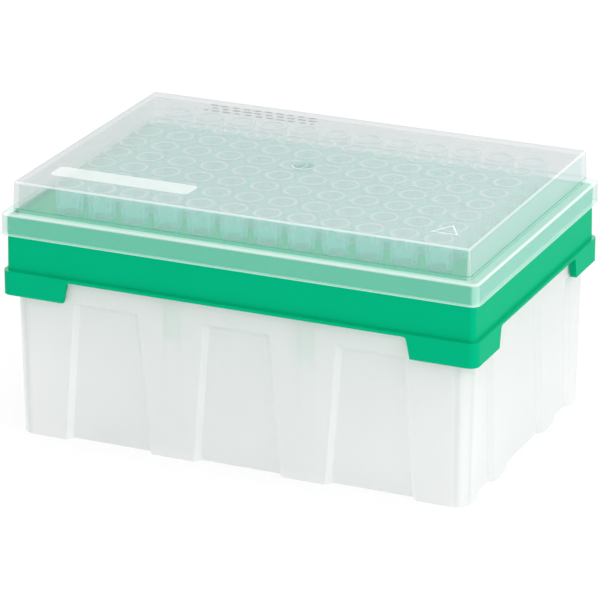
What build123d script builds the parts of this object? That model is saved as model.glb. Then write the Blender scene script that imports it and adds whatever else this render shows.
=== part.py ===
from build123d import *

import math
import os

# A box of 96 pipette tips: a frosted tub, a green rack that sits on its rim,
# the tips hanging in the rack, and a clear lid over them.
# Millimetres, +Z up, origin under the middle of the tub. X is the long way.

# Grid of tips, as on a microplate
COLUMNS = 12
ROWS = 8
PITCH = 9.0

# Tub
END_MARGIN = 7.4  # from the outermost grid cell to the rim, along X
SIDE_MARGIN = 4.7  # the same along Y
TUB_HEIGHT = 43.4
TUB_CORNER = 4.9  # upright corners, at the rim
TUB_WALL = 1.3
TUB_FLOOR = 1.4
TUB_DRAFT = 1.0  # degrees; the tub narrows downwards
RING_HEIGHT = 0.8  # the floor stands this far above the ring that it rests on
RING_WIDTH = 3.2
RING_CORNER = 2.4

# Cross walls, which part the inside of the tub in three. They stand in pairs: each pair
# leaves a slot between two columns of tips, and the rack's guide ribs drop into its ends.
CROSS_COLUMNS = 4  # columns of tips between two pairs
CROSS_PAIRS = 2
CROSS_WALL = 0.9  # thickness at the top
CROSS_DRAFT = 0.5  # degrees, on each side
CROSS_TOP = 33.0  # low enough to clear the tips
CROSS_END_TOP = 41.0  # the ends stand higher, beside the tub's long walls
CROSS_END_LENGTH = 5.0
CROSS_END_SLOPE = 2.0

# Sunk panels in the tub's walls, each narrow at its top and open at its foot
PANEL_DEPTH = 1.3
PANEL_TOP = 37.4
PANEL_SLOPE = 45.0  # degrees, between the sides of a panel and the way into the wall
PANEL_CUT = 1.0  # the cutters of the panels start this far outside the wall
PANEL_LIFT = 0.3  # the ring is cut back this far under each panel
FRONT_PANELS = 3
FRONT_PANEL_PITCH = 35.5
FRONT_PANEL_FOOT = 24.2
FRONT_PANEL_HEAD = 17.8
END_PANEL_FOOT = 26.0
END_PANEL_HEAD = 14.0
CORNER_PANEL_PLACE = 26.9  # from the middle of the end wall
CORNER_PANEL_FOOT = 11.8
CORNER_PANEL_HEAD = 4.0

# Rack
BAND_HEIGHT = 14.5  # from the tub's rim to the top of the deck
BAND_END = 1.3  # how far the band stands out past the rim, along X
BAND_SIDE = 0.6  # the same along Y
BAND_CORNER = 1.5
BAND_DRAFT = 1.0
RIM_SEAT = 0.7  # width of rim that the band rests on
DECK_THICKNESS = 1.8
COLLAR_FIT = 0.4  # gap between the tub and the collar round it
COLLAR_END = 1.8  # thickness of the collar, along X
COLLAR_SIDE = 1.25  # the same along Y
COLLAR_CORNER = 2.4
COLLAR_RISE = 0.4  # top of the collar above the rim
LIP_DROP = 0.3  # foot of the collar between its corner skirts, below the rim
SKIRT_DROP = 5.8  # foot of the corner skirts, below the rim
FRONT_SKIRT = 17.1  # length of a corner skirt at its foot, along X
SIDE_SKIRT = 15.6  # the same along Y
SKIRT_SLOPE = 1.1  # how far a skirt widens towards its top
SKIRT_CORNER = 1.0
GUIDE_WIDTH = 2.2  # guide ribs that centre the rack in the tub
GUIDE_THICKNESS = 1.4
GUIDE_DROP = 12.0
GUIDE_GAP = 0.4  # round a guide rib

# Tips
TIP_LENGTH = 51.0
TIP_HEAD = 7.3  # the part that stands above the deck
TIP_HEAD_FLARE = 0.25
TIP_LEDGE = 0.5  # width of deck that the head rests on
TIP_BODY_RADIUS = 2.7  # just under the deck
TIP_BARREL = 14.0  # upper, almost straight stretch of the body
TIP_BARREL_TAPER = 0.35
TIP_WALL = 0.45
TIP_MOUTH_RADIUS = 2.8
TIP_END_RADIUS = 0.45
TIP_END_BORE = 0.25
HOLE_CLEARANCE = 0.25

# Lid
LID_WALL = 1.1
LID_CLEARANCE = 0.15  # between the lid's skirt and the rack's band
LID_OVERLAP = 4.65  # how far the skirt hangs down past the deck
LID_SHOULDER_END = 2.7  # flat shoulder between the skirt and the upper box, along X
LID_SHOULDER_SIDE = 1.9
LID_SKIRT_CORNER = 2.3
LID_BOX_CORNER = 1.2
LID_INNER_CORNER = 0.6
LID_BOX_DRAFT = 2.0
LID_HEADROOM = 0.7  # between the tips' rims and the lid
LID_EDGE = 0.8  # rounding of the lid's top edge
LID_SHOULDER_EDGE = 0.8
GATE_RADIUS = 2.6  # dimple in the middle of the lid, where it was filled
GATE_DEPTH = 0.6

OVERSHOOT = 5.0  # how far a cutter runs past what it cuts
NEAR = 0.01  # edges within this of a height lie at it

RIM_LENGTH = COLUMNS * PITCH + 2 * END_MARGIN
RIM_WIDTH = ROWS * PITCH + 2 * SIDE_MARGIN
DECK_TOP = TUB_HEIGHT + BAND_HEIGHT
HOLE_RADIUS = TIP_BODY_RADIUS + HOLE_CLEARANCE
TUB_LEAN = math.tan(math.radians(TUB_DRAFT))
PANEL_SPREAD = math.tan(math.radians(PANEL_SLOPE))
PANEL_INSET = PANEL_DEPTH * PANEL_SPREAD


def drafted_block(length, width, corner, wide_end, narrow_end, draft):
    """A block with rounded upright corners, full size at one height and narrower at the other."""
    way = 1 if narrow_end > wide_end else -1
    plane = Plane(origin=(0, 0, wide_end), x_dir=(1, 0, 0), z_dir=(0, 0, way))
    return extrude(plane * RectangleRounded(length, width, corner), abs(narrow_end - wide_end), taper=draft)


def edges_at(shape, height):
    """The edges that lie flat at a height."""
    return shape.edges().filter_by_position(Axis.Z, height - NEAR, height + NEAR)


def wall_plane(end, side):
    """The plane of one of the tub's walls: x along it, y up it, z out of it. It leans with the draft."""
    half = (RIM_LENGTH if end else RIM_WIDTH) / 2 - TUB_HEIGHT * TUB_LEAN
    out = Vector(side, 0, 0) if end else Vector(0, side, 0)
    along = Vector(0, side, 0) if end else Vector(-side, 0, 0)
    normal = out - Vector(0, 0, TUB_LEAN)
    return Plane(origin=out * half, x_dir=along, z_dir=normal)


def panel_outline(plane, place, foot, head, depth, grow):
    """The outline of a panel at some depth under the wall, made wider and higher by grow."""
    foot_half = foot / 2 + grow
    head_half = head / 2 + grow
    low = -OVERSHOOT
    low_half = foot_half + (foot_half - head_half) * -low / PANEL_TOP
    top = PANEL_TOP + grow
    corners = [(-low_half, low), (low_half, low), (head_half, top), (-head_half, top)]
    level = plane.offset(-depth)
    return level * Pos(place, 0) * make_face(Polyline(*corners, close=True))


def panel_cutter(plane, place, foot, head, wall):
    """Cuts a sunk panel with sloping sides. With a wall, it leaves that wall behind the panel."""
    outwards = wall / math.cos(math.radians(PANEL_SLOPE))
    ends = []
    for depth in (-PANEL_CUT, PANEL_DEPTH + wall):
        ends.append(panel_outline(plane, place, foot, head, depth, outwards - depth * PANEL_SPREAD))
    return loft(ends, ruled=True)


def evenly(count, pitch):
    """Places along a line, centred on the middle."""
    return [(i - (count - 1) / 2) * pitch for i in range(count)]


def panel_cutters(wall):
    """All the panels round the tub."""
    cutters = []
    for side in (-1, 1):
        front = wall_plane(False, side)
        for place in evenly(FRONT_PANELS, FRONT_PANEL_PITCH):
            cutters.append(panel_cutter(front, place, FRONT_PANEL_FOOT, FRONT_PANEL_HEAD, wall))
        end = wall_plane(True, side)
        cutters.append(panel_cutter(end, 0, END_PANEL_FOOT, END_PANEL_HEAD, wall))
        for place in (-CORNER_PANEL_PLACE, CORNER_PANEL_PLACE):
            cutters.append(panel_cutter(end, place, CORNER_PANEL_FOOT, CORNER_PANEL_HEAD, wall))
    return cutters


def slot_places():
    """Where the slots between the cross walls are, along X, with the rack's guide ribs in them."""
    return evenly(CROSS_PAIRS, CROSS_COLUMNS * PITCH)


def make_cross_wall():
    """One cross wall, too long for the tub, whose cavity cuts it to length."""
    half = RIM_WIDTH / 2
    inner = half - TUB_WALL - CROSS_END_LENGTH
    heights = [
        (-half, 0),
        (half, 0),
        (half, CROSS_END_TOP),
        (inner, CROSS_END_TOP),
        (inner - CROSS_END_SLOPE, CROSS_TOP),
        (CROSS_END_SLOPE - inner, CROSS_TOP),
        (-inner, CROSS_END_TOP),
        (-half, CROSS_END_TOP),
    ]
    side_view = extrude(Plane.YZ * make_face(Polyline(*heights, close=True)), OVERSHOOT, both=True)
    thin = CROSS_WALL / 2
    thick = thin + CROSS_END_TOP * math.tan(math.radians(CROSS_DRAFT))
    section = Polyline((-thick, 0), (thick, 0), (thin, CROSS_END_TOP), (-thin, CROSS_END_TOP), close=True)
    return side_view & extrude(Plane.XZ * make_face(section), half, both=True)


def make_tub():
    """The base: a drafted tub with sunk panels, two pairs of cross walls and a ring to stand on."""
    floor_top = RING_HEIGHT + TUB_FLOOR
    outside = drafted_block(RIM_LENGTH, RIM_WIDTH, TUB_CORNER, TUB_HEIGHT, 0, TUB_DRAFT)
    cavity = drafted_block(
        RIM_LENGTH - 2 * TUB_WALL,
        RIM_WIDTH - 2 * TUB_WALL,
        TUB_CORNER - TUB_WALL,
        TUB_HEIGHT,
        floor_top,
        TUB_DRAFT,
    )
    for cutter in panel_cutters(0):
        outside -= cutter
    for cutter in panel_cutters(TUB_WALL):
        cavity -= cutter
    wall = make_cross_wall()
    beside = GUIDE_WIDTH / 2 + GUIDE_GAP + CROSS_WALL / 2
    for place in slot_places():
        cavity -= Pos(place - beside, 0) * wall
        cavity -= Pos(place + beside, 0) * wall
    lost = 2 * TUB_HEIGHT * TUB_LEAN + 2 * (RING_WIDTH + PANEL_DEPTH)
    hollow = RectangleRounded(RIM_LENGTH - lost, RIM_WIDTH - lost, RING_CORNER)
    return outside - cavity - extrude(hollow, RING_HEIGHT) - foot_gaps()


def foot_gaps():
    """Shallow gaps under the panels, which leave the wall between them standing as feet."""
    reach = 2 * (RIM_LENGTH + RIM_WIDTH)
    inner = Box(
        RIM_LENGTH - 2 * TUB_HEIGHT * TUB_LEAN - 2 * RING_WIDTH - 4 * PANEL_DEPTH,
        RIM_WIDTH - 2 * TUB_HEIGHT * TUB_LEAN - 2 * RING_WIDTH - 4 * PANEL_DEPTH,
        PANEL_LIFT * 2,
    )
    bars = []
    for place in evenly(FRONT_PANELS, FRONT_PANEL_PITCH):
        bars.append(Pos(place, 0, 0) * Box(FRONT_PANEL_FOOT - 2 * PANEL_INSET, reach, PANEL_LIFT * 2))
    bars.append(Box(reach, END_PANEL_FOOT - 2 * PANEL_INSET, PANEL_LIFT * 2))
    for place in (-CORNER_PANEL_PLACE, CORNER_PANEL_PLACE):
        bars.append(Pos(0, place, 0) * Box(reach, CORNER_PANEL_FOOT - 2 * PANEL_INSET, PANEL_LIFT * 2))
    gaps = Part() + bars
    return gaps - inner


def grid(column, row):
    """The middle of a hole of the rack, counted from the front left."""
    return (column - (COLUMNS - 1) / 2) * PITCH, (row - (ROWS - 1) / 2) * PITCH


def skirt_gap(length, thickness, across):
    """The gap in the collar between two corner skirts, narrower at its top."""
    low = TUB_HEIGHT - SKIRT_DROP
    high = TUB_HEIGHT - LIP_DROP
    foot_half = length / 2
    head_half = foot_half - SKIRT_SLOPE
    slope = SKIRT_SLOPE / (high - low)
    below = 2 * SKIRT_CORNER
    outline = Polyline(
        (-foot_half - slope * below, low - below),
        (foot_half + slope * below, low - below),
        (head_half, high),
        (-head_half, high),
        close=True,
    )
    gap = make_face(outline)
    gap = fillet(gap.vertices().group_by(Axis.Y)[-1], SKIRT_CORNER)
    plane = Plane.YZ if across else Plane.XZ
    return extrude(plane * gap, thickness, both=True)


def make_collar():
    """The collar round the tub's rim: a lip all round, and a skirt down each corner."""
    length = RIM_LENGTH + 2 * (COLLAR_FIT + COLLAR_END)
    width = RIM_WIDTH + 2 * (COLLAR_FIT + COLLAR_SIDE)
    foot = TUB_HEIGHT - SKIRT_DROP
    height = SKIRT_DROP + COLLAR_RISE
    collar = Pos(0, 0, foot) * extrude(RectangleRounded(length, width, COLLAR_CORNER), height)
    inner = RectangleRounded(RIM_LENGTH + 2 * COLLAR_FIT, RIM_WIDTH + 2 * COLLAR_FIT, TUB_CORNER)
    collar -= Pos(0, 0, foot) * extrude(inner, SKIRT_DROP)
    collar -= skirt_gap(length - 2 * FRONT_SKIRT, width, False)
    collar -= skirt_gap(width - 2 * SIDE_SKIRT, length, True)
    return collar


def make_guide(place, side):
    """A rib under the deck that hangs into the tub beside its wall and centres the rack."""
    band_inside = RIM_WIDTH / 2 - RIM_SEAT
    tub_inside = RIM_WIDTH / 2 - TUB_WALL - GUIDE_DROP * TUB_LEAN
    outer = tub_inside - GUIDE_GAP
    inner = outer - GUIDE_THICKNESS
    low = TUB_HEIGHT - GUIDE_DROP
    high = DECK_TOP - DECK_THICKNESS / 2
    web = TUB_HEIGHT + GUIDE_GAP
    profile = Polyline(
        (outer, low),
        (outer, web),
        (band_inside + RIM_SEAT / 2, web),
        (band_inside + RIM_SEAT / 2, high),
        (inner, high),
        (inner, low),
        close=True,
    )
    rib = extrude(Plane.YZ * make_face(profile), GUIDE_WIDTH / 2, both=True)
    if side < 0:
        rib = mirror(rib, about=Plane.XZ)
    return Pos(place, 0, 0) * rib


def make_rack():
    """The green rack: a deck with a hole for each tip, a band round it, the collar and the guides."""
    band_length = RIM_LENGTH + 2 * BAND_END
    band_width = RIM_WIDTH + 2 * BAND_SIDE
    band = drafted_block(band_length, band_width, BAND_CORNER, TUB_HEIGHT, DECK_TOP, BAND_DRAFT)
    room = RectangleRounded(RIM_LENGTH - 2 * RIM_SEAT, RIM_WIDTH - 2 * RIM_SEAT, BAND_CORNER)
    room_height = BAND_HEIGHT - DECK_THICKNESS
    rack = band + make_collar()
    rack -= Pos(0, 0, TUB_HEIGHT) * extrude(room, room_height)
    for side in (-1, 1):
        for place in slot_places():
            rack += make_guide(place, side)
    hole = Cylinder(HOLE_RADIUS, 2 * DECK_THICKNESS)
    holes = []
    for column in range(COLUMNS):
        for row in range(ROWS):
            x, y = grid(column, row)
            holes.append(Pos(x, y, DECK_TOP - DECK_THICKNESS / 2) * hole)
    return rack - holes


def make_tip():
    """One tip, hollow from end to end: a head that hangs on the deck, a barrel and a long taper."""
    rim = DECK_TOP + TIP_HEAD
    head_foot = HOLE_RADIUS + TIP_LEDGE
    head_rim = head_foot + TIP_HEAD_FLARE
    barrel_foot = DECK_TOP - TIP_BARREL
    barrel_radius = TIP_BODY_RADIUS - TIP_BARREL_TAPER
    end = rim - TIP_LENGTH
    profile = Polyline(
        (TIP_MOUTH_RADIUS, rim),
        (head_rim, rim),
        (head_foot, DECK_TOP),
        (TIP_BODY_RADIUS, DECK_TOP),
        (barrel_radius, barrel_foot),
        (TIP_END_RADIUS, end),
        (TIP_END_BORE, end),
        (barrel_radius - TIP_WALL, barrel_foot),
        (TIP_BODY_RADIUS - TIP_WALL, DECK_TOP),
        close=True,
    )
    return revolve(Plane.XZ * make_face(profile), Axis.Z)


def make_lid():
    """The lid: a skirt round the rack's band, a flat shoulder on the deck, and a shallow box."""
    sunk = (BAND_HEIGHT - LID_OVERLAP) * math.tan(math.radians(BAND_DRAFT))
    inside_length = RIM_LENGTH + 2 * (BAND_END - sunk + LID_CLEARANCE)
    inside_width = RIM_WIDTH + 2 * (BAND_SIDE - sunk + LID_CLEARANCE)
    foot = DECK_TOP - LID_OVERLAP
    shoulder = DECK_TOP + LID_WALL
    top = DECK_TOP + TIP_HEAD + LID_HEADROOM + LID_WALL
    skirt_length = inside_length + 2 * LID_WALL
    skirt_width = inside_width + 2 * LID_WALL
    skirt = drafted_block(skirt_length, skirt_width, LID_SKIRT_CORNER, foot, shoulder, BAND_DRAFT)
    skirt = fillet(edges_at(skirt, shoulder), LID_SHOULDER_EDGE)
    box_length = skirt_length - 2 * LID_SHOULDER_END
    box_width = skirt_width - 2 * LID_SHOULDER_SIDE
    box = drafted_block(box_length, box_width, LID_BOX_CORNER, DECK_TOP, top, LID_BOX_DRAFT)
    box = fillet(edges_at(box, top), LID_EDGE)
    lid = skirt + box
    lid -= drafted_block(
        inside_length,
        inside_width,
        LID_SKIRT_CORNER - LID_WALL,
        foot,
        DECK_TOP,
        BAND_DRAFT,
    )
    lid -= drafted_block(
        box_length - 2 * LID_WALL,
        box_width - 2 * LID_WALL,
        LID_INNER_CORNER,
        DECK_TOP,
        top - LID_WALL,
        LID_BOX_DRAFT,
    )
    gate = Cylinder(GATE_RADIUS, GATE_DEPTH, align=(Align.CENTER, Align.CENTER, Align.MAX))
    return lid - Pos(0, 0, top) * gate


def tip_column(tip, column):
    """The separate tips of one column of the grid."""
    return Compound([Pos(*grid(column, row)) * tip for row in range(ROWS)])


os.makedirs("parts", exist_ok=True)
export_step(make_tub(), "parts/tub.step")
export_step(make_rack(), "parts/rack.step")
export_step(make_lid(), "parts/lid.step")
single_tip = make_tip()
for number in range(COLUMNS):
    export_step(tip_column(single_tip, number), f"parts/tips_column_{number + 1:02d}.step")
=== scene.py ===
"""The looks of a box of pipette tips: the plastics of its pieces, and a plain studio."""

import math

import bmesh
import bpy
from bpy.props import FloatProperty, FloatVectorProperty, IntProperty, PointerProperty
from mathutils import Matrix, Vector


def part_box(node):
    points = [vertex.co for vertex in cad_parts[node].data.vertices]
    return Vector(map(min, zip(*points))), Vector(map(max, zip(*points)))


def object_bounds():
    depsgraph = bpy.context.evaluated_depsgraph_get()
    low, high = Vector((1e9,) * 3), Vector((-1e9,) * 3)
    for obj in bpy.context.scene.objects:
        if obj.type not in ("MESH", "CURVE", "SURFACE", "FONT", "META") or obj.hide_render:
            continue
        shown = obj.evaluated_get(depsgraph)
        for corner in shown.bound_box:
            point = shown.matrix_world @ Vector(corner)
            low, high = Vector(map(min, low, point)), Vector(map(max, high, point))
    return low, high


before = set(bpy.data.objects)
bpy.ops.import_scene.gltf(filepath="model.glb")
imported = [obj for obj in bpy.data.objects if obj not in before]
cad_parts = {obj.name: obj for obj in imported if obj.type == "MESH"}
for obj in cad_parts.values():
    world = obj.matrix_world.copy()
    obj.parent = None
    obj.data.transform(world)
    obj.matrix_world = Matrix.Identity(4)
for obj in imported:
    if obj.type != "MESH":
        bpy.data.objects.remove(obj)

bl_info = {
    "name": "Pipette tip box",
    "version": (1, 0, 0),
    "blender": (4, 5, 0),
    "location": "3D View > Sidebar > Tip Box",
    "description": "Plastics and a studio for a box of pipette tips",
    "category": "Object",
}

MM = 0.001
WHITE = (1, 1, 1, 1)

CAD_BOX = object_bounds()
TIP_NODES = [name for name in sorted(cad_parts) if name.startswith("tips_column")]
TIP_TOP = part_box(TIP_NODES[0])[1].z
DECK_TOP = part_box("rack")[1].z
LID_FOOT, LID_TOP = [corner.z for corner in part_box("lid")]

SOLID_IOR = 1.49  # of the frosted and the green plastic
CLEAR_IOR = 1.45  # of the clear plastic

# Where a mask starts and ends, by how far up the surface faces: 0 is level, 1 is straight up
FLAT = (0.5, 0.9)
SHOULDER_FLAT = (0.6, 0.95)
ROOF_FLAT = (0.9, 0.97)

# The same by how far the surface turns from the view: 0 is face on, 1 is edge on
TIP_EDGE_ON = (0.7, 0.85)
LID_SLANT = (0.3, 0.62)
LID_EDGE_ON = (0.62, 0.72)
LID_RIM_ON = (0.8, 0.97)

# The same by how far it leans from the axes: 0 is square to one, two thirds is the most
ROUNDED = (0.04, 0.14)
SLOPING = (0.3, 0.44)
LID_ROUNDED = (0.13, 0.36)

# Places and sizes of the lamps, in metres
LAMPS = {
    "key": (0.7, (1.0, -0.35, 0.75)),
    "top": (0.8, (0.1, 0.1, 1.2)),
    "fill": (0.8, (-0.3, -1.1, 0.6)),
    "sheen": (0.7, (-0.25, 1.45, 0.95)),
}


# ---------------------------------------------------------------- settings


def colour(name, description, default):
    """A colour that a user can change."""
    return FloatVectorProperty(
        name=name, description=description, subtype="COLOR", size=3, min=0, max=1, default=default
    )


def share(name, description, default):
    """A number from 0 to 1 that a user can change."""
    return FloatProperty(
        name=name, description=description, subtype="FACTOR", min=0, max=1, default=default
    )


def length(name, description, default):
    """A length in metres that a user can change."""
    return FloatProperty(name=name, description=description, unit="LENGTH", default=default)


def spot(name, description, default):
    """Two lengths in metres, along X and Y, that a user can change."""
    return FloatVectorProperty(
        name=name,
        description=description,
        subtype="TRANSLATION",
        unit="LENGTH",
        size=2,
        default=default,
    )


def power(name, description, default):
    """A lamp's power in watts that a user can change."""
    return FloatProperty(
        name=name, description=description, unit="POWER", min=0, default=default
    )


def angle(name, description, default):
    """An angle that a user can change. The default is in degrees."""
    return FloatProperty(
        name=name, description=description, unit="ROTATION", default=math.radians(default)
    )


class TubSettings(bpy.types.PropertyGroup):
    """The frosted tub."""

    tint: colour("Colour", "Colour of the frosted plastic", (0.955, 0.955, 0.963))
    # Painted shade: the rounded edges are darker
    edge_shade: colour("Edge colour", "Colour of the rounded edges", (0.84, 0.86, 0.86))
    gloss: share("Roughness", "How dull the outer surface is", 0.42)
    glow: share("Glow", "Share of the light that the plastic spreads from its other side", 0.38)
    cover: share("Cover", "How much one skin of a wall hides when seen square on", 0.75)
    lets_in: share("Lets in", "Share of the cover that light passes on its way in", 0.8)
    grain: length("Grain", "Size of the grain of the mould's surface", 0.35 * MM)


class RackSettings(bpy.types.PropertyGroup):
    """The green rack."""

    tint: colour("Colour", "Colour of the dyed plastic", (0.0, 0.42, 0.198))
    gloss: share("Roughness", "How dull the surface is", 0.38)
    grain: length("Grain", "Size of the grain of the mould's surface", 0.3 * MM)


class TipSettings(bpy.types.PropertyGroup):
    """The clear tips."""

    # These three colours hold painted green light from the rack, the most at the foot and in the
    # rack
    tint: colour("Colour", "Colour of the haze in the heads", (0.58, 0.96, 0.98))
    foot_green_light: colour("Foot colour", "Colour of the haze just above the rack", (0.34, 0.97, 0.93))
    low_green_light: colour("Lower colour", "Colour of the haze in the rack and below", (0.55, 0.8, 0.72))
    rim_tint: colour("Rim colour", "Colour of the rim's flat top", (0.95, 0.97, 0.97))
    # Painted shade: the dark lines where a wall is seen edge on
    line_shade: colour("Line colour", "Colour where the wall is seen edge on", (0.30, 0.62, 0.58))
    glass: colour("Glass colour", "Colour of the light through one skin", (0.99, 0.99, 0.99))
    cover: share("Cover", "How much one skin of a head hides when seen square on", 0.09)
    foot_cover: share("Foot cover", "The same just above the rack", 0.21)
    low_cover: share("Lower cover", "The same in the rack and below", 0.15)
    rim_cover: share("Rim cover", "How much the rim's flat top hides", 0.325)
    line_cover: share("Line cover", "How much a wall hides where it is seen edge on", 0.36)
    foot_start: length("Foot start", "Height above the rack where the foot fades out", 1.2 * MM)
    foot_end: length("Foot end", "Height above the rack where the foot ends", 4.5 * MM)


class LidSettings(bpy.types.PropertyGroup):
    """The clear lid, its write-on patch, its print and its mould mark."""

    # The skirt's, the walls' and the shoulder's colours hold the haze and painted green light from
    # the rack
    tint: colour("Colour", "Colour of the haze in the skirt", (0.53, 1.0, 0.93))
    # Painted shade at a slant, over the painted green light
    slant_shade: colour("Slant colour", "The same seen at a slant", (0.46, 0.76, 0.72))
    wall_haze_and_green_light: colour("Wall colour", "Colour of the haze in the upper walls", (0.74, 0.85, 0.85))
    wall_slant_shade: colour("Wall slant colour", "The same seen at a slant", (0.66, 0.81, 0.82))
    # Painted shade on the walls seen from inside, the far walls
    far_wall_shade: colour("Far wall colour", "The same seen from behind", (0.55, 0.65, 0.64))
    shoulder_haze_and_green_light: colour("Shoulder colour", "Colour of the shoulder's haze", (0.72, 0.95, 0.9))
    # Painted shade: the dark line in the crease
    crease_shade: colour("Crease colour", "Colour of the line under the walls", (0.08, 0.45, 0.33))
    # Painted shade: the flat top's haze is grey, darker than the walls'
    top_haze_and_shade: colour("Top colour", "Colour of the haze in the flat top", (0.57, 0.6, 0.61))
    # Painted shade: dark lines where the wall is seen edge on and along the far edges
    rim_tint: colour("Rim colour", "Colour where the wall is seen edge on", (0.42, 0.52, 0.49))
    # A painted highlight on the near rounded edges, the foot and the dimple's lip; also the own
    # white of the patch and the mark
    white: colour("White", "Colour of the rounded edges and the marks", (0.96, 0.95, 0.95))
    ink: colour("Ink", "Colour of the print", (0.16, 0.17, 0.17))
    glass: colour("Glass colour", "Colour of the light through one skin", (0.94, 0.94, 0.94))
    cover: share("Cover", "How much one skin of the skirt hides when seen square on", 0.13)
    wall_cover: share("Wall cover", "The same in the upper walls", 0.15)
    top_cover: share("Top cover", "The same in the flat top", 0.14)
    shoulder_cover: share("Shoulder cover", "How much the shoulder hides", 0.5)
    crease_cover: share("Crease cover", "How much the line under the upper walls hides", 0.6)
    edge_cover: share("Edge cover", "How much the rounded edges hide", 0.58)
    top_edge_cover: share("Top edge cover", "The same round the flat top", 0.4)
    far_cover: share("Far edge cover", "The same seen through the plastic", 0.6)
    patch_cover: share("Patch cover", "How much the frosted write-on patch hides", 0.5)
    mark_cover: share("Mark cover", "How much the moulded triangle hides", 0.5)
    ink_cover: share("Ink cover", "How much the print hides", 0.5)
    crease_height: length("Crease height", "Height of the crease above the lid's foot", 6.75 * MM)
    patch_middle: spot("Patch middle", "Middle of the write-on patch", (-36 * MM, -28.5 * MM))
    patch_size: spot("Patch size", "Length and width of the write-on patch", (38 * MM, 7 * MM))
    patch_corner: length("Patch corner", "Rounding of the patch's corners", 1.5 * MM)
    mark_middle: spot("Mark middle", "Middle of the moulded triangle", (51 * MM, -30.2 * MM))
    mark_size: length("Mark size", "Side of the moulded triangle", 6.5 * MM)
    mark_line: length("Mark line", "Width of its line", 0.5 * MM)
    print_corner: spot("Print corner", "Front left corner of the print", (-42 * MM, 30 * MM))
    print_size: spot("Print size", "Length and width of the print", (31 * MM, 6.6 * MM))
    print_rows: IntProperty(name="Print rows", description="Rows of dashes", default=3, min=1)


class StageSettings(bpy.types.PropertyGroup):
    """The floor, the lamps and the camera."""

    floor_size: length("Floor size", "Side of the square floor", 3.0)
    floor_white: share("Floor white", "Share of plain white, which lightens the shadow", 0.85)
    sky: share("Sky", "Strength of the white room as a light", 0.75)
    key: power("Key lamp", "Power of the lamp on the right", 6.2)
    top: power("Top lamp", "Power of the lamp overhead", 5.5)
    fill: power("Fill lamp", "Power of the lamp in front", 1.0)
    sheen: power("Sheen lamp", "Power of the lamp behind, which shows in the lid", 0.9)
    azimuth: angle("Azimuth", "Way round to the camera, from the front", 23.91)
    elevation: angle("Elevation", "Way up to the camera", 20.7)
    distance: length("Distance", "From the camera to the point it looks at", 1.003)
    lens: FloatProperty(
        name="Lens", description="Focal length in millimetres", default=237.5, min=1
    )
    aim: FloatVectorProperty(
        name="Aim",
        description="The point that the camera looks at",
        subtype="TRANSLATION",
        unit="LENGTH",
        size=3,
        default=(-0.88 * MM, 0.0, 30.9 * MM),
    )


# ---------------------------------------------------------------- node trees


class Socket:
    """An output of a node. Arithmetic on it adds Math nodes to the same tree."""

    def __init__(self, tree, output):
        self.tree = tree
        self.output = output

    def __add__(self, other):
        return self.tree.maths("ADD", self, other)

    def __radd__(self, other):
        return self.tree.maths("ADD", other, self)

    def __sub__(self, other):
        return self.tree.maths("SUBTRACT", self, other)

    def __rsub__(self, other):
        return self.tree.maths("SUBTRACT", other, self)

    def __mul__(self, other):
        return self.tree.maths("MULTIPLY", self, other)

    def __rmul__(self, other):
        return self.tree.maths("MULTIPLY", other, self)

    def __rtruediv__(self, other):
        return self.tree.maths("DIVIDE", other, self)

    def __abs__(self):
        return self.tree.maths("ABSOLUTE", self)

    def at_least(self, other):
        """The larger of two values."""
        return self.tree.maths("MAXIMUM", self, other)

    def root(self):
        """The square root."""
        return self.tree.maths("SQRT", self)

    def wrap(self):
        """What is left of a value after its whole part."""
        return self.tree.maths("FRACT", self)

    def rise(self, start, end):
        """0 before start and 1 after end, smooth between them."""
        limits = {"Value": self, "From Min": start, "From Max": end}
        smooth = {"interpolation_type": "SMOOTHSTEP"}
        return self.tree.node("ShaderNodeMapRange", smooth, limits, "Result")


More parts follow.
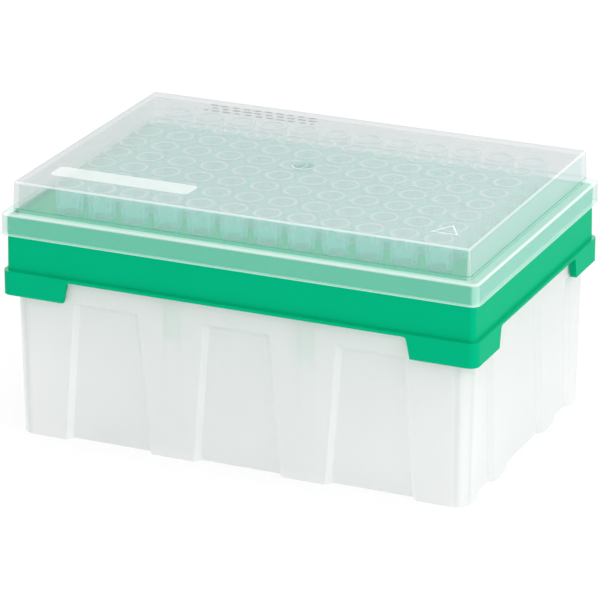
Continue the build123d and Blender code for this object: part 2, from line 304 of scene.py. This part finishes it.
class Tree:
    """The node tree of a new material or world, empty but for its output."""

    def __init__(self, owner, output="ShaderNodeOutputMaterial"):
        owner.use_nodes = True
        self.owner = owner
        self.nodes = owner.node_tree.nodes
        self.links = owner.node_tree.links
        self.nodes.clear()
        self.out = self.nodes.new(output)

    def node(self, kind, settings=None, values=None, output=0):
        """A node, its settings, and values or links for its sockets. Gives one output."""
        made = self.nodes.new(kind)
        for name, setting in (settings or {}).items():
            setattr(made, name, setting)
        for name, value in (values or {}).items():
            if isinstance(value, Socket):
                self.links.new(value.output, made.inputs[name])
            else:
                made.inputs[name].default_value = value
        return Socket(self, made.outputs[output])

    def maths(self, operation, *values):
        """A Math node on some values or sockets."""
        return self.node("ShaderNodeMath", {"operation": operation}, dict(enumerate(values)))

    def mix(self, factor, first, second):
        """The first colour where the factor is 0, the second where it is 1."""
        values = {0: factor, 6: first, 7: second}
        return self.node("ShaderNodeMix", {"data_type": "RGBA"}, values, 2)

    def blend(self, factor, first, second):
        """The first shader where the factor is 0, the second where it is 1."""
        return self.node("ShaderNodeMixShader", values={0: factor, 1: first, 2: second})

    def outputs(self, kind, names, values=None):
        """Several outputs of one node."""
        made = self.node(kind, values=values).output.node.outputs
        return [Socket(self, made[name]) for name in names]

    def place(self):
        """The point on the piece, in metres."""
        return self.node("ShaderNodeTexCoord", output="Object")

    def axes(self, vector):
        """The three parts of a vector."""
        return self.outputs("ShaderNodeSeparateXYZ", "XYZ", {"Vector": vector})

    def facing(self):
        """The three parts of the way that the surface faces."""
        return self.axes(self.node("ShaderNodeTexCoord", output="Normal"))

    def lean(self):
        """0 where the surface is square to an axis, and more as it leans, up to two thirds."""
        total = 0
        for part in self.facing():
            square = part * part
            total = square * square + total
        return 1 - total

    def slant(self):
        """0 where the surface is seen face on, 1 where it is seen edge on."""
        return self.node("ShaderNodeLayerWeight", values={"Blend": 0.5}, output="Facing")

    def behind(self):
        """1 on the back of a surface, as where a wall is seen from inside."""
        return self.node("ShaderNodeNewGeometry", output="Backfacing")

    def noise(self, point, size, detail=2.0):
        """Soft noise about 0.5, whose lumps are about size metres across."""
        values = {"Vector": point, "Scale": 1 / size, "Detail": detail, "Roughness": 0.5}
        return self.node("ShaderNodeTexNoise", values=values)

    def bump(self, height, distance):
        """A normal bumped by a height from 0 to 1, which stands for a distance in metres."""
        values = {"Height": height, "Distance": distance, "Strength": 1.0}
        return self.node("ShaderNodeBump", values=values, output="Normal")

    def cover(self, face_on):
        """How much a thin hazy skin hides: the share seen square on, and more at a slant."""
        straight = (1 - self.slant()).at_least(0.05)
        return 1 - self.maths("POWER", 1 - face_on, 1 / straight)

    def skin(self, cover, hidden, clear, shader):
        """A shader over a clear one. Rays that bring light miss the hidden share of its cover."""
        shadow, spread = self.outputs("ShaderNodeLightPath", ("Is Shadow Ray", "Is Diffuse Ray"))
        factor = cover * (1 - hidden * shadow.at_least(spread))
        through = self.node("ShaderNodeBsdfTransparent", values={"Color": clear})
        return self.blend(factor, through, shader)

    def seen_rays(self):
        """1 for rays that show the room to the camera, straight or by gloss or glass."""
        names = ("Is Camera Ray", "Is Glossy Ray", "Is Transmission Ray")
        straight, gloss, glass = self.outputs("ShaderNodeLightPath", names)
        return straight.at_least(gloss).at_least(glass)

    def show(self, shader):
        """Sends a shader to the output."""
        self.links.new(shader.output, self.out.inputs["Surface"])
        return self.owner


def rgba(tint, shade=1.0):
    """A colour property as the four numbers that a socket takes, made darker by a shade."""
    return (*[shade * part for part in tint], 1.0)


# ---------------------------------------------------------------- flat shapes on the lid


def plate(x, y, middle, size, corner):
    """1 on a rounded rectangle that lies flat, 0 off it."""
    soft = 0.1 * MM
    out_x = (abs(x - middle[0]) - (size[0] / 2 - corner)).at_least(0)
    out_y = (abs(y - middle[1]) - (size[1] / 2 - corner)).at_least(0)
    reach = (out_x * out_x + out_y * out_y).root()
    return 1 - reach.rise(corner - soft, corner + soft)


def triangle(x, y, middle, size, line):
    """1 on the outline of an equal-sided triangle that lies flat, 0 off it."""
    soft = 0.08 * MM
    inner = size / (2 * math.sqrt(3))
    up = y - middle[1]
    slope = 0.5 * up + math.sqrt(0.75) * abs(x - middle[0])
    reach = abs((-1 * up).at_least(slope) - inner)
    return 1 - reach.rise(line / 2 - soft, line / 2 + soft)


def dashes(x, y, corner, size, rows):
    """1 on rows of short printed dashes, 0 off them. The rows and the dashes are uneven."""
    pitch = 3.1 * MM
    wave = 17 * MM
    row = (y - corner[1]) * (rows / size[1])
    number = row - row.wrap()
    along = (x * (1 / pitch) + number * 0.37).wrap() - 0.5
    ragged = (x * (1 / wave) + number * 0.61).wrap() * 0.3
    inked = 1 - abs(along).rise(0.22 + ragged * 0.5, 0.26 + ragged * 0.5)
    line = 1 - abs(row.wrap() - 0.5).rise(0.2, 0.28)
    middle = (corner[0] + size[0] / 2, corner[1] + size[1] / 2)
    return inked * line * plate(x, y, middle, size, 0.2 * MM)


def dimple(x, y):
    """1 in the dimple in the middle of the lid, and 1 on the front half of the lip round it, where
    a highlight is painted.
    """
    reach = (x * x + y * y).root()
    bowl = 1 - reach.rise(2.3 * MM, 2.6 * MM)
    lip = reach.rise(2.3 * MM, 2.5 * MM) * (1 - reach.rise(2.8 * MM, 3.1 * MM))
    return bowl, lip * (-1 * y).rise(0, 1.5 * MM)


# ---------------------------------------------------------------- plastics


def frosted_plastic(settings):
    """Milky plastic with a satin grain. It glows with the light from its other side."""
    tree = Tree(bpy.data.materials.new("frosted_polypropylene"))
    point = tree.place()
    grain = tree.noise(point, settings.grain)
    cloud = tree.noise(point, 12 * MM, detail=1.0)
    lean = tree.lean()
    # A painted highlight: the sloping sides of the sunk panels are white
    slope = lean.rise(*SLOPING)
    # Painted shade: the rounded edges are darkened by the edge colour
    edge = lean.rise(*ROUNDED) * (1 - slope)
    tint = tree.mix(cloud, rgba(settings.tint, 0.97), rgba(settings.tint))
    tint = tree.mix(edge, tint, rgba(settings.edge_shade))
    skin = tree.node(
        "ShaderNodeBsdfPrincipled",
        values={
            "Base Color": tree.mix(slope, tint, WHITE),
            "Roughness": settings.gloss + 0.08 * (grain - 0.5),
            "IOR": SOLID_IOR,
            "Specular IOR Level": 0.3,
            "Coat Weight": slope,
            "Coat Roughness": 0.12,
            "Coat IOR": 2.2,
            "Normal": tree.bump(grain, 0.012 * MM),
        },
    )
    glow = tree.node("ShaderNodeBsdfTranslucent", values={"Color": rgba(settings.tint)})
    milky = tree.blend(settings.glow, skin, glow)
    return tree.show(tree.skin(tree.cover(settings.cover), settings.lets_in, WHITE, milky))


def green_plastic(settings):
    """Dyed plastic, solid in colour, with a fine satin grain."""
    tree = Tree(bpy.data.materials.new("green_polypropylene"))
    point = tree.place()
    grain = tree.noise(point, settings.grain)
    cloud = tree.noise(point, 9 * MM, detail=1.0)
    upward = tree.facing()[2]
    shader = tree.node(
        "ShaderNodeBsdfPrincipled",
        values={
            "Base Color": tree.mix(cloud, rgba(settings.tint, 0.95), rgba(settings.tint)),
            "Roughness": settings.gloss + 0.06 * (grain - 0.5),
            "IOR": SOLID_IOR,
            "Specular IOR Level": 0.015,
            "Coat Weight": upward.rise(*FLAT),
            "Coat Roughness": 0.25,
            "Normal": tree.bump(grain, 0.006 * MM),
        },
    )
    return tree.show(shader)


def tip_plastic(settings):
    """Clear plastic with a little haze, in which green light from the rack is painted, most of it
    near the rack, and painted shade where a wall is seen edge on.
    """
    tree = Tree(bpy.data.materials.new("tip_polypropylene"))
    z = tree.axes(tree.place())[2]
    upward = tree.facing()[2]

    # From the top down: the flat rim, the turn under it with all that is seen edge on, the foot
    # of the head, and what is in the rack and below
    rim = upward.rise(*FLAT) * z.rise(TIP_TOP - 0.3 * MM, TIP_TOP - 0.2 * MM)
    turn = z.rise(TIP_TOP - 0.45 * MM, TIP_TOP - 0.3 * MM) * (1 - rim)
    line = turn.at_least(tree.slant().rise(*TIP_EDGE_ON) * (1 - rim))
    foot = 1 - z.rise(DECK_TOP + settings.foot_start, DECK_TOP + settings.foot_end)
    low = 1 - z.rise(DECK_TOP - 0.5 * MM, DECK_TOP + 0.5 * MM)

    # Painted green light from the rack in the haze, the most at the foot and in the rack
    tint = tree.mix(foot, rgba(settings.tint), rgba(settings.foot_green_light))
    tint = tree.mix(low, tint, rgba(settings.low_green_light))
    tint = tree.mix(rim, tint, rgba(settings.rim_tint))
    # Painted shade: the turn under the rim and the walls seen edge on are dark
    tint = tree.mix(line, tint, rgba(settings.line_shade))
    values = {"Base Color": tint, "Roughness": 0.2, "IOR": CLEAR_IOR}
    shader = tree.node("ShaderNodeBsdfPrincipled", values=values)

    cover = settings.cover + (settings.foot_cover - settings.cover) * foot
    cover = tree.cover(cover + (settings.low_cover - cover) * low)
    cover = cover + (settings.line_cover - cover) * line * (1 - low)
    cover = cover + (settings.rim_cover - cover) * rim
    return tree.show(tree.skin(cover, 1.0, rgba(settings.glass), shader))


def lid_plastic(settings):
    """Clear, hazy plastic with a write-on patch, rows of print and a mould mark, and painted
    light: highlights on the near edges, shade on the far edges, slants and crease, and green light
    from the rack.
    """
    tree = Tree(bpy.data.materials.new("clear_polypropylene"))
    x, y, z = tree.axes(tree.place())
    upward = tree.facing()[2]
    slant = tree.slant()
    inside = tree.behind()

    # The zones from the foot up: skirt, shoulder, crease, upper walls, flat top
    high = z.rise(LID_TOP - 2.5 * MM, LID_TOP - 2.0 * MM)
    top = high * abs(upward).rise(*FLAT)
    roof = z.rise(LID_TOP - 0.3 * MM, LID_TOP - 0.2 * MM) * upward.rise(*ROOF_FLAT)
    shoulder = (1 - high) * upward.rise(*SHOULDER_FLAT)
    crease_place = LID_FOOT + settings.crease_height
    wall = z.rise(crease_place - 1.0 * MM, crease_place - 0.8 * MM)
    # Painted shade: a dark line in the crease where the upper walls meet the shoulder
    crease = 1 - abs(z - crease_place).rise(0.1 * MM, 0.22 * MM)
    crease = crease * (1 - abs(upward).rise(0.2, 0.4)) * (1 - inside)

    # The rounded edges: a painted highlight on the near side of the lid and along its foot, and
    # painted shade on the far side
    rounded = (tree.lean() + 0.1 * (1 - high)).rise(*LID_ROUNDED)
    rounded = rounded * (0.45 + 0.55 * upward.rise(0.1, 0.5))
    edge_on = slant.rise(*LID_EDGE_ON)
    far_edge = rounded * (inside * upward.rise(0.2, 0.45)).at_least(edge_on)
    foot = 1 - z.rise(LID_FOOT + 0.12 * MM, LID_FOOT + 0.24 * MM)
    edge = (rounded * (1 - inside) * (1 - edge_on)).at_least(0.6 * foot)

    # What stands on the flat top
    patch = roof * plate(x, y, settings.patch_middle, settings.patch_size, settings.patch_corner)
    mark = roof * triangle(x, y, settings.mark_middle, settings.mark_size, settings.mark_line)
    ink = roof * dashes(x, y, settings.print_corner, settings.print_size, settings.print_rows)
    bowl, lip = dimple(x, y)
    lip = roof * lip

    # Painted light: green light from the rack in the skirt, walls and shoulder; shade at a slant,
    # on the far walls, on the flat top, in the crease and where the wall is seen edge on;
    # highlights on the near edges and the dimple's lip. The patch, the mark and the print are the
    # lid's own.
    tint = tree.mix(wall, rgba(settings.tint), rgba(settings.wall_haze_and_green_light))
    slanted = tree.mix(wall, rgba(settings.slant_shade), rgba(settings.wall_slant_shade))
    # Painted shade: darker colours where the lid is seen at a slant
    tint = tree.mix(slant.rise(*LID_SLANT), tint, slanted)
    for mask, layer in (
        (inside * wall, settings.far_wall_shade),
        (shoulder, settings.shoulder_haze_and_green_light),
        (top, settings.top_haze_and_shade),
        (edge.at_least(patch).at_least(mark).at_least(lip), settings.white),
        (slant.rise(*LID_RIM_ON).at_least(far_edge), settings.rim_tint),
        (crease, settings.crease_shade),
        (ink, settings.ink),
    ):
        tint = tree.mix(mask, tint, rgba(layer))
    values = {"Base Color": tint, "Roughness": 0.25, "IOR": CLEAR_IOR}
    shader = tree.node("ShaderNodeBsdfPrincipled", values=values)

    cover = settings.cover + (settings.wall_cover - settings.cover) * wall
    cover = tree.cover(cover + (settings.top_cover - cover) * top) * (1 - 0.7 * bowl)
    # The painted highlights and shades hide more of what is behind them, as do the patch, the mark
    # and the print
    for mask, layer in (
        (shoulder, settings.shoulder_cover),
        (crease, settings.crease_cover),
        (edge.at_least(lip), settings.edge_cover),
        (edge * high, settings.top_edge_cover),
        (far_edge, settings.far_cover),
        (patch, settings.patch_cover),
        (mark, settings.mark_cover),
        (ink, settings.ink_cover),
    ):
        cover = cover + (layer - cover) * mask
    return tree.show(tree.skin(cover, 1.0, rgba(settings.glass), shader))


def wear(node_name, material):
    """Gives a CAD node its material."""
    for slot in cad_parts[node_name].material_slots:
        slot.material = material


# ---------------------------------------------------------------- studio


def make_floor(settings):
    """A square white floor with a faint shadow, which is seen through from below."""
    mesh = bpy.data.meshes.new("floor")
    shape = bmesh.new()
    bmesh.ops.create_grid(shape, x_segments=1, y_segments=1, size=settings.floor_size / 2)
    shape.to_mesh(mesh)
    shape.free()
    floor = bpy.data.objects.new("floor", mesh)
    bpy.context.scene.collection.objects.link(floor)
    tree = Tree(bpy.data.materials.new("floor_white"))
    below = tree.node("ShaderNodeLightPath", output="Is Camera Ray") * tree.behind()
    matt = tree.node("ShaderNodeBsdfDiffuse", values={"Color": (0.95, 0.95, 0.95, 1)})
    white = tree.node("ShaderNodeEmission", values={"Color": WHITE, "Strength": 1.0})
    pale = tree.blend(tree.seen_rays() * settings.floor_white, matt, white)
    nothing = tree.node("ShaderNodeBsdfTransparent")
    mesh.materials.append(tree.show(tree.blend(below, pale, nothing)))


def make_sky(settings):
    """A white room, which lights the box less than it shows."""
    world = bpy.data.worlds.new("white_room")
    bpy.context.scene.world = world
    tree = Tree(world, "ShaderNodeOutputWorld")
    strength = settings.sky + tree.seen_rays() * (1 - settings.sky)
    tree.show(tree.node("ShaderNodeBackground", values={"Color": WHITE, "Strength": strength}))


def make_lamp(name, watts, size, place):
    """A square soft lamp that points at the box."""
    data = bpy.data.lights.new(name, "AREA")
    data.shape = "SQUARE"
    data.size = size
    data.energy = watts
    middle = (CAD_BOX[0] + CAD_BOX[1]) / 2
    lamp = bpy.data.objects.new(name, data)
    lamp.location = place
    lamp.rotation_euler = (middle - Vector(place)).to_track_quat("-Z", "Y").to_euler()
    bpy.context.scene.collection.objects.link(lamp)


def make_camera(settings):
    """A long lens on the box from in front, to the right and above."""
    data = bpy.data.cameras.new("camera")
    data.lens = settings.lens
    data.clip_start = 10 * MM
    level = math.cos(settings.elevation)
    across = math.sin(settings.azimuth) * level
    back = -math.cos(settings.azimuth) * level
    away = Vector((across, back, math.sin(settings.elevation)))
    camera = bpy.data.objects.new("camera", data)
    camera.location = Vector(settings.aim) + settings.distance * away
    camera.rotation_euler = away.to_track_quat("Z", "Y").to_euler()
    bpy.context.scene.collection.objects.link(camera)
    bpy.context.scene.camera = camera


# ---------------------------------------------------------------- operators


class TIPBOX_OT_tub(bpy.types.Operator):
    """Dress the tub in frosted plastic"""

    bl_idname = "tipbox.tub"
    bl_label = "Tub"

    def execute(self, context):
        wear("tub", frosted_plastic(context.scene.tipbox_tub))
        return {"FINISHED"}


class TIPBOX_OT_rack(bpy.types.Operator):
    """Dress the rack in green plastic"""

    bl_idname = "tipbox.rack"
    bl_label = "Rack"

    def execute(self, context):
        wear("rack", green_plastic(context.scene.tipbox_rack))
        return {"FINISHED"}


class TIPBOX_OT_tips(bpy.types.Operator):
    """Dress the tips in clear plastic"""

    bl_idname = "tipbox.tips"
    bl_label = "Tips"

    def execute(self, context):
        material = tip_plastic(context.scene.tipbox_tips)
        for name in TIP_NODES:
            wear(name, material)
        return {"FINISHED"}


class TIPBOX_OT_lid(bpy.types.Operator):
    """Dress the lid in clear plastic"""

    bl_idname = "tipbox.lid"
    bl_label = "Lid"

    def execute(self, context):
        wear("lid", lid_plastic(context.scene.tipbox_lid))
        return {"FINISHED"}


class TIPBOX_OT_stage(bpy.types.Operator):
    """Add the floor, the white room, the lamps and the camera"""

    bl_idname = "tipbox.stage"
    bl_label = "Stage"

    def execute(self, context):
        scene = context.scene
        settings = scene.tipbox_stage
        make_floor(settings)
        make_sky(settings)
        for name, (size, place) in LAMPS.items():
            make_lamp(name, getattr(settings, name), size, place)
        make_camera(settings)
        scene.view_settings.view_transform = "Standard"
        # A line of sight can cross many clear skins, and the frosted tub passes light on
        scene.cycles.transparent_max_bounces = 64
        scene.cycles.diffuse_bounces = 8
        return {"FINISHED"}


OPERATORS = (TIPBOX_OT_tub, TIPBOX_OT_rack, TIPBOX_OT_tips, TIPBOX_OT_lid, TIPBOX_OT_stage)
SETTINGS = {
    "tipbox_tub": TubSettings,
    "tipbox_rack": RackSettings,
    "tipbox_tips": TipSettings,
    "tipbox_lid": LidSettings,
    "tipbox_stage": StageSettings,
}


class TIPBOX_PT_sidebar(bpy.types.Panel):
    """The tools for the tip box, in the order in which they run"""

    bl_label = "Tip Box"
    bl_space_type = "VIEW_3D"
    bl_region_type = "UI"
    bl_category = "Tip Box"

    def draw(self, context):
        for operator, name in zip(OPERATORS, SETTINGS):
            box = self.layout.box()
            box.operator(operator.bl_idname)
            settings = getattr(context.scene, name)
            for key in settings.__annotations__:
                box.prop(settings, key)


CLASSES = (*SETTINGS.values(), *OPERATORS, TIPBOX_PT_sidebar)


def register():
    """Makes the classes and settings known to Blender."""
    for each in CLASSES:
        bpy.utils.register_class(each)
    for name, group in SETTINGS.items():
        setattr(bpy.types.Scene, name, PointerProperty(type=group))


def unregister():
    """Takes them away again."""
    for name in SETTINGS:
        delattr(bpy.types.Scene, name)
    for each in reversed(CLASSES):
        bpy.utils.unregister_class(each)


def main():
    """Runs every operator."""
    register()
    for operator in OPERATORS:
        group, name = operator.bl_idname.split(".")
        getattr(getattr(bpy.ops, group), name)()


if __name__ == "__main__":
    main()
